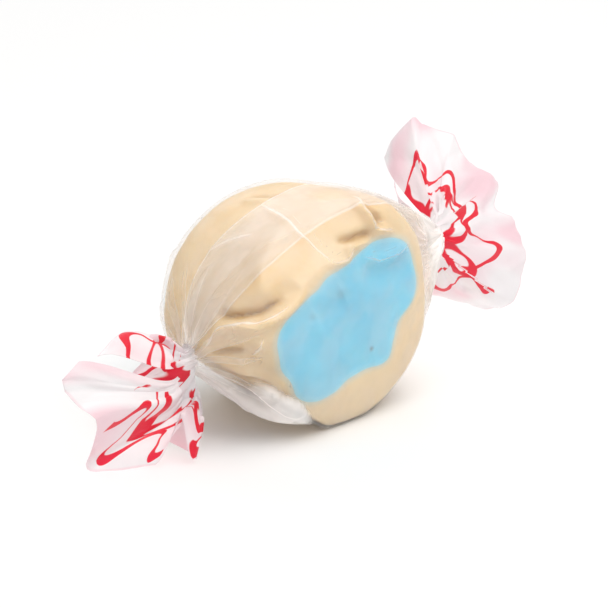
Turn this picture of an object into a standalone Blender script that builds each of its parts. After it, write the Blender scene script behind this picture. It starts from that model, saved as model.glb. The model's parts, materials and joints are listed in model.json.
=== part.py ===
"""A piece of salt water taffy in its twisted paper, built the way the real sweet is made.

A two-colour rope is cut into short plugs, so a tan layer runs round a blue core from one cut
face to the other. The plug lies on its round side. One sheet of waxed paper goes round it, is
twisted shut beside the plug at both ends, and flares out into a pleated tail past each twist.

Metres, +Z up. X runs from tail to tail, the cut face that is seen looks along -Y, and the
origin is on the ground, in the middle of the whole piece.
"""

import math
import random

import bmesh
import bpy
import numpy as np
from mathutils import Matrix, Vector

# The taffy plug: radii go round from +X over the top, 30 degrees apart
PLUG_THICKNESS = 0.0160
PLUG_RADII = (0.0121, 0.0123, 0.0114, 0.0103, 0.0100, 0.0104, 0.0105, 0.0103, 0.0104, 0.0112, 0.0121, 0.0124)
CORE_RADII = (0.0099, 0.0107, 0.0082, 0.0057, 0.0053, 0.0063, 0.0082, 0.0075, 0.0086, 0.0064, 0.0072, 0.0087)
CORE_TAPER = 0.16
BACK_TAPER = 0.10
FRONT_RIM_POWER = 6.5
BACK_RIM_POWER = 4.2
DOME_POWER = 2.4
DOME_ANGLE = math.radians(112)
DOME_SPAN = math.radians(75)
LAYER_GAP = 0.0003

# The waxed paper
PAPER_THICKNESS = 0.00032
PAPER_GAP = 0.00046
PAPER_REACH = PAPER_GAP + PAPER_THICKNESS
PLUG_FLOOR = PAPER_REACH
PLUG_CENTRE_Z = 0.0111

# The two twists, by the places of their necks beside the plug
NECK_RADIUS = 0.0016
NECK_BORE = 0.0006
NECK_CONE = 0.0025
TWIST_TURN = math.radians(210)
TWIST_BODY_SHARE = 0.35
TWIST_LENGTH = 0.0028
LEFT_NECK = Vector((-0.0137, -0.0010, 0.0092))
RIGHT_NECK = Vector((0.0180, -0.0032, 0.0140))

# Pleats that gather the paper into each twist
FOLDS = 12
COLUMNS_PER_FOLD = 4
COLUMNS = FOLDS * COLUMNS_PER_FOLD
BODY_ROWS = 25
TAIL_ROWS = 9
PLEAT_DEPTH = 0.42
NECK_DEPTH = 0.20
PLEAT_REACH = 0.0085
PANEL_CREASE = 0.0005

# Slack paper that hangs down in front, between the left twist and the ground
SAG = 0.0022
SAG_PLACE = -0.0085
SAG_LENGTH = 0.0060
SAG_ANGLE = math.radians(316)
SAG_SPAN = math.radians(52)

# Corners of each tail's rim from its neck, in millimetres, from the front over the top and round.
# The bend is where a tail has got to before it fans out.
BEND_FULL = 0.0080
LEFT_BEND = Vector((-0.0022, -0.0008, -0.0045))
LEFT_RIM = (
    (-12.2, -1.0, -2.4), (-14.0, 1.6, 0.2), (-11.1, 2.1, 1.5), (-3.6, 4.6, 2.1),
    (-1.7, 2.6, 1.3), (-3.8, 4.2, -2.0), (-6.8, 5.6, -5.0), (-4.6, 3.6, -8.2),
    (-2.2, 0.6, -8.0), (-1.9, -2.9, -8.8), (-5.7, -1.3, -8.8), (-10.7, 2.0, -8.9),
)
RIGHT_BEND = Vector((0.0014, 0.0008, 0.0001))
RIGHT_RIM = (
    (13.7, -0.1, -4.8), (13.3, 2.0, -1.5), (13.8, 4.3, 1.3), (11.0, 5.8, 3.6),
    (10.7, 7.8, 6.0), (8.3, 10.1, 7.4), (5.9, 11.7, 3.5), (6.0, 10.3, -1.2),
    (6.5, 9.0, -5.7), (5.0, 5.3, -8.3), (8.1, 2.2, -9.9), (11.4, -0.3, -9.7),
)

TAN = (0.78, 0.58, 0.34, 1.0)
BLUE = (0.28, 0.62, 0.78, 1.0)
PAPER = (0.87, 0.84, 0.84, 0.55)


def around(values, angle):
    """Reads evenly spaced values round a circle with a smooth periodic curve."""
    values = np.asarray(values)
    count = len(values)
    place = np.asarray(angle) / (2 * math.pi) * count
    index = np.floor(place).astype(int)
    t = place - index
    before, here, after, beyond = (values[(index + k) % count] for k in (-1, 0, 1, 2))
    bend = 2 * before - 5 * here + 4 * after - beyond
    return here + 0.5 * t * ((after - before) + t * (bend + t * (3 * here - before - 3 * after + beyond)))


def smooth(t):
    t = np.clip(t, 0.0, 1.0)
    return t * t * (3 - 2 * t)


def rim_power(theta, y):
    """How square the plug's rims are. The cut face's upper left is a soft dome."""
    away = np.abs((theta - DOME_ANGLE + math.pi) % (2 * math.pi) - math.pi)
    dome = 1 - smooth(away / DOME_SPAN)
    return np.where(y < 0, FRONT_RIM_POWER + (DOME_POWER - FRONT_RIM_POWER) * dome, BACK_RIM_POWER)


def plug_radius(theta, y):
    """The plug narrows to the back, but not along the side that it lies on."""
    narrowing = BACK_TAPER * smooth((y / PLUG_THICKNESS) + 0.5) * (0.5 + 0.5 * np.sin(theta))
    return around(PLUG_RADII, theta) * (1 - narrowing)


def plug_level(x, y, z, grow=0.0):
    """Under 1 inside the plug and over 1 outside it, once it has grown outwards by some distance."""
    up = z - PLUG_CENTRE_Z
    theta = np.arctan2(up, x)
    power = rim_power(theta, y)
    across = np.hypot(x, up) / (plug_radius(theta, y) + grow)
    along = np.abs(y) / (PLUG_THICKNESS / 2 + grow)
    level = (across**power + along**power) ** (1 / power)
    return np.maximum(level, -up / (PLUG_CENTRE_Z - PLUG_FLOOR + grow))


def plug_mesh(name, segments=44, rings=22):
    """The whole plug, both colours: a sphere primitive whose poles are the middles of the cut faces."""
    mesh = bpy.data.meshes.new(name)
    form = bmesh.new()
    bmesh.ops.create_uvsphere(form, u_segments=segments, v_segments=rings, radius=1.0)
    for vert in form.verts:
        theta = math.atan2(vert.co.y, vert.co.x)
        sine = max(-1.0, min(1.0, -vert.co.z))
        cosine = math.sqrt(max(0.0, 1 - sine * sine))
        power = float(rim_power(theta, sine))
        y = math.copysign(abs(sine) ** (2 / power), sine) * PLUG_THICKNESS / 2
        radius = float(plug_radius(theta, y)) * cosine ** (2 / power)
        z = PLUG_CENTRE_Z + radius * math.sin(theta)
        vert.co = (radius * math.cos(theta), y, max(z, PLUG_FLOOR))
    form.to_mesh(mesh)
    form.free()
    return mesh


def core_prism(name, grow, segments=60):
    """A bar with the core's outline, longer than the plug: a cylinder primitive turned to lie along Y."""
    mesh = bpy.data.meshes.new(name)
    form = bmesh.new()
    bmesh.ops.create_cone(
        form, cap_ends=True, segments=segments, radius1=1 - CORE_TAPER, radius2=1.0, depth=PLUG_THICKNESS * 1.5
    )
    for vert in form.verts:
        theta = math.atan2(vert.co.y, vert.co.x)
        radius = math.hypot(vert.co.x, vert.co.y) * float(around(CORE_RADII, theta)) + grow
        vert.co = (radius * math.cos(theta), -vert.co.z, PLUG_CENTRE_Z + radius * math.sin(theta))
    form.to_mesh(mesh)
    form.free()
    return mesh


def put(name, mesh, collection):
    shape = bpy.data.objects.new(name, mesh)
    collection.objects.link(shape)
    return shape


def paint(shape, name, colour, roughness):
    material = bpy.data.materials.new(name)
    material.use_nodes = True
    shader = material.node_tree.nodes["Principled BSDF"]
    shader.inputs["Base Color"].default_value = colour
    shader.inputs["Roughness"].default_value = roughness
    shader.inputs["Metallic"].default_value = 0.0
    shader.inputs["Alpha"].default_value = colour[3]
    shape.data.materials.clear()
    shape.data.materials.append(material)


def cut(shape, other, operation):
    boolean = shape.modifiers.new(operation.lower(), "BOOLEAN")
    boolean.operation = operation
    boolean.object = other
    boolean.solver = "EXACT"


def make_taffy(parts, cutters):
    """The tan layer is the plug with the core's channel through it, and the core is the rest."""
    channel = put("core_channel", core_prism("core_channel", LAYER_GAP), cutters)
    bar = put("core_bar", core_prism("core_bar", 0.0), cutters)
    for cutter in (channel, bar):
        cutter.hide_render = True
        cutter.display_type = "WIRE"
    tan_layer = put("tan_layer", plug_mesh("tan_layer"), parts)
    cut(tan_layer, channel, "DIFFERENCE")
    blue_core = put("blue_core", plug_mesh("blue_core"), parts)
    cut(blue_core, bar, "INTERSECT")
    paint(tan_layer, "tan_taffy", TAN, 0.45)
    paint(blue_core, "blue_taffy", BLUE, 0.4)


def axis_point(x):
    """The line that the paper gathers round: neck, middle of the plug, neck."""
    x = np.asarray(x, float)
    left, right = x / LEFT_NECK.x, x / RIGHT_NECK.x
    share_left, share_right = smooth(left), smooth(right)
    y = share_left * LEFT_NECK.y + share_right * RIGHT_NECK.y
    z = PLUG_CENTRE_Z + share_left * (LEFT_NECK.z - PLUG_CENTRE_Z) + share_right * (RIGHT_NECK.z - PLUG_CENTRE_Z)
    return y, z


def plug_reach(x, phi):
    """How far the paper's outer side has to be from the axis to clear the plug, by bisection."""
    axis_y, axis_z = axis_point(x)
    low, high = np.zeros_like(phi), np.full_like(phi, 0.03)
    for _ in range(30):
        middle = (low + high) / 2
        inside = plug_level(x, axis_y - middle * np.cos(phi), axis_z + middle * np.sin(phi), PAPER_REACH) < 1
        low, high = np.where(inside, middle, low), np.where(inside, high, middle)
    return np.where(high < 1e-6, 0.0, (low + high) / 2)


def taut(x, radius):
    """The line that paper takes when it is pulled straight over a profile: the upper hull."""
    kept = []
    for point in zip(x, radius):
        while len(kept) > 1:
            (x0, r0), (x1, r1) = kept[-2:]
            if (x1 - x0) * (point[1] - r0) < (point[0] - x0) * (r1 - r0):
                break
            kept.pop()
        kept.append(point)
    return np.interp(x, [p[0] for p in kept], [p[1] for p in kept])


def fold_angles():
    """Angles of the sheet's columns. The first column of every fold is its ridge."""
    draw = random.Random(7)
    spacing = 2 * math.pi / FOLDS
    ridges = [(k + draw.uniform(-0.16, 0.16)) * spacing for k in range(FOLDS)]
    angles = []
    for k, ridge in enumerate(ridges):
        following = ridges[k + 1] if k + 1 < FOLDS else ridges[0] + 2 * math.pi
        angles += [ridge + (following - ridge) * j / COLUMNS_PER_FOLD for j in range(COLUMNS_PER_FOLD)]
    return np.array(angles)


def fold_depths():
    """0 on each ridge and up to 1 in each valley, column by column."""
    draw = random.Random(11)
    depths = []
    for _ in range(FOLDS):
        deepest = draw.uniform(0.45, 1.0)
        depths += [deepest * (1 - abs(2 * j / COLUMNS_PER_FOLD - 1)) for j in range(COLUMNS_PER_FOLD)]
    return np.array(depths)


def ring(x, radius, phi):
    """A loop of points round the axis at one place along it. Angle 0 is the front and 90 the top."""
    axis_y, axis_z = axis_point(x)
    return np.stack([np.full_like(phi, x), axis_y - radius * np.cos(phi), axis_z + radius * np.sin(phi)], -1)


def sag(x, phi):
    """How far the slack paper hangs outside the pulled sheet."""
    away = np.abs((phi - SAG_ANGLE + math.pi) % (2 * math.pi) - math.pi)
    return SAG * smooth(1 - abs(x - SAG_PLACE) / SAG_LENGTH) * smooth(1 - away / SAG_SPAN)


def body_rows(angles, depths):
    """Rows of the paper round the plug, and the bore that each of them would have at a neck."""
    table = np.linspace(0, 2 * math.pi, 121)
    share = (1 - np.cos(np.linspace(0, math.pi, BODY_ROWS))) / 2
    stations = LEFT_NECK.x + (RIGHT_NECK.x - LEFT_NECK.x) * share
    fine = np.linspace(LEFT_NECK.x, RIGHT_NECK.x, 161)
    clear = np.array([plug_reach(x, table) for x in fine])
    pulled = clear.copy()
    pulled[0] = pulled[-1] = NECK_RADIUS
    pulled = np.array([taut(fine, column) for column in pulled.T]).T
    rows = []
    for x in stations:
        to_neck = min(x - LEFT_NECK.x, RIGHT_NECK.x - x)
        side = -1 if x < 0 else 1
        turn = TWIST_TURN * TWIST_BODY_SHARE * smooth(1 - to_neck / TWIST_LENGTH)
        phi = angles + side * turn
        column = phi % (2 * math.pi)
        hull = np.interp(column, table, [np.interp(x, fine, reach) for reach in pulled.T])
        near = np.interp(column, table, [np.interp(x, fine, reach) for reach in clear.T])
        gather = smooth(1 - to_neck / PLEAT_REACH)
        tight = smooth(1 - to_neck / NECK_CONE)
        depth = (PLEAT_DEPTH + (NECK_DEPTH - PLEAT_DEPTH) * tight) * gather
        outer = np.maximum(hull * (1 - depth * depths), near) + sag(x, phi)
        outer = np.minimum(outer, axis_point(x)[1] / np.maximum(-np.sin(phi), 1e-6))
        rows.append((ring(x, outer, phi), ring(x, np.full_like(phi, NECK_BORE), phi), tight))
    return rows


def tail_rim(rim, neck, columns):
    """The rim's points for the columns: flat panels from corner to corner, creased along the middle."""
    corners = np.array(rim) / 1000 + np.array(neck)
    middle = corners.mean(axis=0)
    points = []
    for c in columns:
        fold, step = divmod(c, COLUMNS_PER_FOLD)
        here, there = corners[fold % FOLDS], corners[(fold + 1) % FOLDS]
        t = step / COLUMNS_PER_FOLD
        point = here + (there - here) * t
        inward = middle - point
        points.append(point + inward / np.linalg.norm(inward) * PANEL_CREASE * (1 - abs(2 * t - 1)))
    return np.array(points)


def tail_rows(neck, bend, rim, side, angles, depths):
    """Rows of one tail. Each column runs from the neck past the bend to its place on the rim."""
    neck, bend = np.array(neck), np.array(bend)
    shift = round(TWIST_TURN / (2 * math.pi) * FOLDS) * COLUMNS_PER_FOLD * side
    ends = tail_rim(rim, neck, [(c + shift) % COLUMNS for c in range(COLUMNS)])
    heading = bend / np.linalg.norm(bend)
    reach = np.minimum(np.linalg.norm(ends - neck, axis=1) / BEND_FULL, 1.0)[:, None]
    rows = []
    for i in range(1, TAIL_ROWS + 1):
        share = i / TAIL_ROWS
        turn = TWIST_TURN * (TWIST_BODY_SHARE + (1 - TWIST_BODY_SHARE) * smooth(share / 0.35))
        phi = angles + side * turn
        lean = smooth(share / 0.35)
        normal = np.array((side, 0.0, 0.0)) * (1 - lean) + heading * lean
        normal /= np.linalg.norm(normal)
        up = np.array((0.0, 0.0, 1.0)) if abs(normal[2]) < 0.8 else np.array((-side * normal[2], 0.0, 0.3))
        up = up - normal * (up @ normal)
        up /= np.linalg.norm(up)
        front = np.cross(up, normal) * side
        spoke = np.outer(np.cos(phi), front) + np.outer(np.sin(phi), up)
        pleats = 1 - (NECK_DEPTH + 0.1 * share) * depths
        start = neck + spoke * (NECK_RADIUS * pleats)[:, None]
        bent = neck + bend * reach + spoke * (1.25 * NECK_RADIUS * pleats)[:, None]
        outer = start * (1 - share) ** 2 + bent * 2 * share * (1 - share) + ends * share**2
        middle = neck * (1 - share) ** 2 + (neck + bend * reach) * 2 * share * (1 - share)
        middle = middle + (ends.mean(axis=0)) * share**2
        rows.append((outer, middle + spoke * NECK_BORE, smooth(1 - share / 0.45)))
    return rows


def inner_side(rows):
    """The sheet's other side, a thickness away, closing in on the bore where the twist is packed."""
    outer = np.array([row[0] for row in rows])
    bore = np.array([row[1] for row in rows])
    packed = np.array([row[2] for row in rows])[:, None, None]
    along = np.gradient(outer, axis=0)
    across = np.roll(outer, -1, axis=1) - np.roll(outer, 1, axis=1)
    normal = np.cross(along, across)
    normal /= np.linalg.norm(normal, axis=2, keepdims=True)
    return (outer - normal * PAPER_THICKNESS) * (1 - packed) + bore * packed


def make_paper(parts):
    """The sheet as one loft: outer rows from tail to tail, inner rows back again."""
    angles, depths = fold_angles(), fold_depths()
    left = tail_rows(LEFT_NECK, LEFT_BEND, LEFT_RIM, -1, angles, depths)
    right = tail_rows(RIGHT_NECK, RIGHT_BEND, RIGHT_RIM, 1, angles, depths)
    rows = left[::-1] + body_rows(angles, depths) + right
    loop = [row[0] for row in rows] + list(inner_side(rows)[::-1])
    form = bmesh.new()
    rings = [[form.verts.new(Vector(point)) for point in row] for row in loop]
    for here, there in zip(rings, rings[1:] + rings[:1]):
        for c in range(COLUMNS):
            following = (c + 1) % COLUMNS
            form.faces.new((here[c], there[c], there[following], here[following]))
    mesh = bpy.data.meshes.new("paper_wrap")
    form.to_mesh(mesh)
    form.free()
    paper = put("paper_wrap", mesh, parts)
    paint(paper, "waxed_paper", PAPER, 0.5)
    return paper


def centre_on_ground(shapes):
    """Moves everything sideways so that the origin is under the middle of the whole piece."""
    corners = np.array([vert.co for shape in shapes for vert in shape.data.vertices])
    low, high = corners.min(axis=0), corners.max(axis=0)
    offset = Vector((-(low[0] + high[0]) / 2, -(low[1] + high[1]) / 2, 0.0))
    for mesh in {shape.data for shape in bpy.data.objects}:
        mesh.transform(Matrix.Translation(offset))
    print("moved by", [round(value * 1000, 3) for value in offset])


def main():
    for thing in list(bpy.data.objects):
        bpy.data.objects.remove(thing)
    parts = bpy.data.collections.new("salt_water_taffy")
    cutters = bpy.data.collections.new("cutters")
    for collection in (parts, cutters):
        bpy.context.scene.collection.children.link(collection)
    make_taffy(parts, cutters)
    paper = make_paper(parts)
    centre_on_ground([paper])
    for shape in parts.objects:
        shape.data.shade_smooth()


main()
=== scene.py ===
# %% [markdown]
# # A wrapped piece of salt water taffy
#
# The real sweet is a short plug cut from a two-colour rope of pulled sugar: a blue core with a tan
# layer round it. One sheet of waxed paper is rolled round the plug and twisted shut on both sides,
# so the same sheet clings to the sweet, gathers into pleats, passes through each twist and opens
# into a bell. Three pieces are made here: the tan layer, the blue core and the sheet of paper.
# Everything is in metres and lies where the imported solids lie.

# %% Load the solids
import json
import math
import random

import bpy
import numpy as np
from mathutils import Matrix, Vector, geometry, noise
from mathutils.bvhtree import BVHTree

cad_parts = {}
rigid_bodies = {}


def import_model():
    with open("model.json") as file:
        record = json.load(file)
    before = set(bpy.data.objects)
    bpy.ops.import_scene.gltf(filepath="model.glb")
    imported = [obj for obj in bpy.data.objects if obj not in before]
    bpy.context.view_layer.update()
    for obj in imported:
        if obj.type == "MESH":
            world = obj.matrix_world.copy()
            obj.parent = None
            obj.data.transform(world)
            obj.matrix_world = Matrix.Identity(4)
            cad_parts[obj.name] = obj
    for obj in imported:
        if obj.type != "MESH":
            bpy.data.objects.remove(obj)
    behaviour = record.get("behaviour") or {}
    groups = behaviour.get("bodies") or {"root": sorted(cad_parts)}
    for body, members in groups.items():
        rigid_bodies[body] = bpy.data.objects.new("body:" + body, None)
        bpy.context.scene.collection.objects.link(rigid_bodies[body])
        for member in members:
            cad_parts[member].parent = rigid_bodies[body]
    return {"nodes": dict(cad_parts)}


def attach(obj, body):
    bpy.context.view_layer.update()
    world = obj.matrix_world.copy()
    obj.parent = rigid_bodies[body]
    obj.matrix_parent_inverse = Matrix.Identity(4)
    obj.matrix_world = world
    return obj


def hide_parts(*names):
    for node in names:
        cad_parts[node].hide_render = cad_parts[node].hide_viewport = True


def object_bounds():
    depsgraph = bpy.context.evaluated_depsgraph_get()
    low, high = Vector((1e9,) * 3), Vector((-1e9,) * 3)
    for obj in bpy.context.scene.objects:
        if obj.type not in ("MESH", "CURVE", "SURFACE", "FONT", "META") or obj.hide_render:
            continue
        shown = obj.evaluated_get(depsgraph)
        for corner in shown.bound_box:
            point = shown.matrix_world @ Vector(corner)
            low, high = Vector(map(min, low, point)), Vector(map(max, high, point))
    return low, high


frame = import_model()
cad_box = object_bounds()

print("solids:", ", ".join(sorted(frame["nodes"])))
print("whole piece, mm:", [round((b - a) * 1000, 1) for a, b in zip(*cad_box)])

# %% [markdown]
# ## Floor, light and camera
#
# The sweet is shown the way a shop shows it: on white, with light from all round and a softer, larger
# light overhead. A thin translucent paper needs that, because one hard lamp would leave its far side
# grey. The view transform is Standard, so that a white paper stays white.

# %% A pale floor
def finish(name, values):
    """A new material, its nodes and its shader, with plain values for some of the shader's inputs."""
    material = bpy.data.materials.new(name)
    material.use_nodes = True
    shader = material.node_tree.nodes["Principled BSDF"]
    for socket, value in values.items():
        shader.inputs[socket].default_value = value
    return material, material.node_tree, shader


def deselect():
    bpy.ops.object.select_all(action="DESELECT")


deselect()
bpy.ops.mesh.primitive_plane_add(size=4.0, location=(0, 0, 0))
floor = bpy.context.object
floor.name = "floor"
floor_looks = {"Base Color": (0.89, 0.89, 0.89, 1), "Roughness": 0.9, "Specular IOR Level": 0.1}
floor.data.materials.append(finish("pale_floor", floor_looks)[0])

# %% Soft light
world = bpy.data.worlds.new("white_room")
bpy.context.scene.world = world
world.use_nodes = True
world.node_tree.nodes["Background"].inputs["Color"].default_value = (1.0, 1.0, 1.0, 1)
world.node_tree.nodes["Background"].inputs["Strength"].default_value = 0.61
bpy.context.scene.view_settings.view_transform = "Standard"


def softbox(name, place, aim, size, power, tint):
    """A square lamp at a place, turned to look at a point."""
    bpy.ops.object.light_add(type="AREA", location=place)
    lamp = bpy.context.object
    lamp.name = name
    lamp.data.size = size
    lamp.data.energy = power
    lamp.data.color = tint
    lamp.rotation_euler = (Vector(place) - Vector(aim)).to_track_quat("Z", "Y").to_euler()


softbox("overhead", (0.015, -0.14, 0.40), (0, 0, 0.01), 0.34, 1.19, (1.0, 0.985, 0.96))
softbox("rear_glow", (0.16, 0.30, 0.28), (0, 0, 0.01), 0.25, 0.25, (0.97, 0.98, 1.0))

# %% Camera at the photograph's angle
CAMERA_TURN, CAMERA_RISE, CAMERA_AWAY = math.radians(-45), math.radians(21), 0.350
LOOK_AT = Vector((0.0006, 0.0002, 0.0098))
PIXELS_PER_METRE, PICTURE_WIDTH = 10400, 608

bpy.ops.object.camera_add()
camera = bpy.context.object
away = Vector((
    math.sin(CAMERA_TURN) * math.cos(CAMERA_RISE),
    -math.cos(CAMERA_TURN) * math.cos(CAMERA_RISE),
    math.sin(CAMERA_RISE),
))
camera.location = LOOK_AT + away * CAMERA_AWAY
camera.rotation_euler = away.to_track_quat("Z", "Y").to_euler()
camera.data.lens = camera.data.sensor_width * CAMERA_AWAY * PIXELS_PER_METRE / PICTURE_WIDTH
camera.data.clip_start = 0.01
bpy.context.scene.camera = camera
print("lens, mm:", round(camera.data.lens, 1))

# %% [markdown]
# ## The shape of the plug
#
# The solids give the plug as a rounded short cylinder that lies on its round side. These are its
# measures again, so that finer pieces can be made in the same place. Radii go round from +X over the
# top, 30 degrees apart for the plug and 15 for the core, and the rims are superellipses, softest at
# the upper left of the cut face.

# %% Measures of the plug
MOVED = Vector((-0.00202, 0.000204, 0.0))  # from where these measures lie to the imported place
SHIFT = np.array(MOVED)
PLUG_THICKNESS = 0.0160
PLUG_RADII = (
    0.0121, 0.0123, 0.0114, 0.0103, 0.0100, 0.0104, 0.0105, 0.0103, 0.0104, 0.0112, 0.0121, 0.0124,
)
CORE_RADII = (
    0.0094, 0.0100, 0.0103, 0.0096, 0.0081, 0.0069, 0.0059, 0.0056, 0.0057, 0.0060, 0.0068, 0.0083,
    0.0093, 0.0090, 0.0086, 0.0089, 0.0085, 0.0071, 0.0062, 0.0061, 0.0067, 0.0076, 0.0073, 0.0074,
)
CORE_TAPER = 0.16
BACK_TAPER = 0.10
FRONT_RIM_POWER, BACK_RIM_POWER, DOME_POWER = 6.5, 4.2, 4.4
DOME_ANGLE, DOME_SPAN = math.radians(112), math.radians(75)
PAPER_REACH = 0.00078
PLUG_FLOOR = PAPER_REACH
PLUG_CENTRE_Z = 0.0111


def around(values, angle):
    """Reads evenly spaced values round a circle with a smooth periodic curve."""
    values = np.asarray(values)
    count = len(values)
    place = np.asarray(angle) / (2 * math.pi) * count
    index = np.floor(place).astype(int)
    t = place - index
    before, here, after, beyond = (values[(index + k) % count] for k in (-1, 0, 1, 2))
    bend = 2 * before - 5 * here + 4 * after - beyond
    return here + 0.5 * t * ((after - before) + t * (bend + t * (3 * here - before - 3 * after + beyond)))


def smooth(t):
    t = np.clip(t, 0.0, 1.0)
    return t * t * (3 - 2 * t)


def rim_power(theta, y):
    off = np.abs((theta - DOME_ANGLE + math.pi) % (2 * math.pi) - math.pi)
    dome = 1 - smooth(off / DOME_SPAN)
    return np.where(y < 0, FRONT_RIM_POWER + (DOME_POWER - FRONT_RIM_POWER) * dome, BACK_RIM_POWER)


def plug_radius(theta, y):
    narrowing = BACK_TAPER * smooth((y / PLUG_THICKNESS) + 0.5) * (0.5 + 0.5 * np.sin(theta))
    return around(PLUG_RADII, theta) * (1 - narrowing)


# %% Flats and the pulled side
FACETS = (
    # a place on the flat, in millimetres, and the way that the flat looks
    ((-4.9, -5.5, 20.0), (-0.30, -0.67, 0.68)),
    ((-12.4, -2.0, 7.3), (-0.61, 0.07, -0.79)),
    ((9.0, -7.0, 17.5), (0.62, -0.42, 0.66)),
    ((-9.6, 3.0, 18.4), (-0.72, 0.10, 0.69)),
)
FLAT_SCALE = 0.011  # metres past a flat that count as 1 in the level of a place
PULL_LENGTH, PULL_SPAN, PULL_CENTRE = 0.0022, 0.0080, (-0.0012, 0.0096)


def pulled(x, y, z):
    """How far the side that faces the left twist is drawn out towards it."""
    off_axis = np.hypot(y - PULL_CENTRE[0], z - PULL_CENTRE[1])
    return PULL_LENGTH * np.clip(1 - off_axis / PULL_SPAN, 0, 1) * smooth((-x - 0.006) / 0.004)


def past_facet(facet, x, y, z):
    """Distance past a flat, for points that haven't been moved to their final place."""
    place, way = np.array(facet[0]) / 1000 - SHIFT, np.array(facet[1])
    past = (x - place[0]) * way[0] + (y - place[1]) * way[1] + (z - place[2]) * way[2]
    return past / np.linalg.norm(way)


def paper_level(x, y, z):
    """Under 1 where the paper can't go: in the plug, or nearer to it than the paper's reach."""
    drawn = x + pulled(x, y, z)
    up = z - PLUG_CENTRE_Z
    theta = np.arctan2(up, drawn)
    power = rim_power(theta, y)
    across = np.hypot(drawn, up) / (plug_radius(theta, y) + PAPER_REACH)
    along = np.abs(y) / (PLUG_THICKNESS / 2 + PAPER_REACH)
    level = (across**power + along**power) ** (1 / power)
    for facet in FACETS:
        level = np.maximum(level, 1 + past_facet(facet, x, y, z) / FLAT_SCALE)
    return np.maximum(level, -up / PLUG_CENTRE_Z)


print("cut face, mm:", round(2000 * float(np.mean(PLUG_RADII)), 1), "across")

# %% [markdown]
# ## Pulled taffy
#
# Taffy is soft when it is cut, so its faces sag a little, its edges are rounded and its skin keeps
# shallow dents and a few pinched creases. The plug starts as a sphere whose poles are the middles of
# the cut faces, and is pushed out to the superellipse. Ridges, pinches and dents then follow set
# lines, each laid on the surface first, and noise adds a slight unevenness.

# %% Creases, in millimetres
# Each row has a depth or height and a half width, then the places that the line runs through.
PINCHES = (
    (0.28, 0.60, (-3.6, 3.9, 21.0), (-2.6, 2.2, 21.5), (-2.3, 0.0, 21.7)),
    (0.60, 0.36, (-2.8, -7.5, 19.3), (0.2, -8.2, 19.2), (1.5, -8.3, 19.0)),
    (0.65, 0.38, (2.2, -5.2, 21.9), (2.7, -7.4, 20.7), (3.2, -8.3, 19.4)),
    (0.80, 0.40, (-13.6, -2.6, 13.2), (-12.9, -4.8, 13.7), (-11.9, -6.8, 14.4), (-9.6, -8.0, 15.6)),
    (0.50, 0.40, (-13.4, -1.6, 7.6), (-12.4, -5.9, 7.4), (-11.2, -7.3, 5.8), (-8.3, -8.0, 3.4)),
    (0.40, 0.35, (-14.2, -2.6, 9.9), (-12.9, -5.8, 10.6)),
    (0.25, 0.55, (-9.5, 7.0, 13.5), (-7.0, 8.2, 17.0)),
)
RIDGES = (
    (0.60, 0.45, (-13.9, -2.4, 11.4), (-13.1, -4.6, 12.5), (-12.3, -6.8, 12.9), (-9.6, -8.3, 14.2),
     (-6.9, -8.5, 15.7)),
    (0.60, 0.42, (0.9, -5.6, 21.6), (1.4, -7.3, 20.8), (1.8, -8.4, 19.2), (4.6, -8.5, 18.5)),
    (0.45, 0.40, (-4.4, -7.9, 17.0), (-2.0, -8.4, 17.3), (-1.6, -8.3, 18.4), (1.4, -8.5, 18.4)),
    (0.40, 0.45, (-12.9, -6.9, 9.4), (-12.5, -7.5, 12.0)),
    (0.30, 0.50, (-4.6, 3.4, 20.8), (-3.6, 0.6, 21.3)),
    (0.28, 0.55, (-0.2, -8.3, 17.2), (2.0, -8.3, 16.1), (4.8, -8.3, 16.0), (6.7, -8.3, 16.6)),
    (0.40, 0.55, (2.0, 8.3, 18.6), (6.5, 8.2, 15.0), (9.5, 7.0, 14.0)),
)
DENTS = (
    (0.75, 1.5, (-13.9, -3.2, 10.9), (-12.2, -6.6, 9.6), (-10.6, -7.9, 6.4)),
    (0.50, 0.9, (-12.6, -4.4, 13.6), (-10.6, -7.2, 15.0), (-8.0, -7.9, 16.4)),
    (0.40, 1.0, (0.0, -8.2, 15.4), (3.0, -8.2, 14.4), (6.5, -8.0, 14.8)),
    (0.30, 1.4, (-6.0, -8.2, 12.0), (-2.5, -8.2, 13.6)),
    (0.25, 1.2, (-4.0, -8.2, 5.6), (1.5, -8.2, 6.2)),
    (0.45, 1.0, (2.6, -3.0, 22.2), (3.6, -6.8, 20.6)),
)
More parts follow.
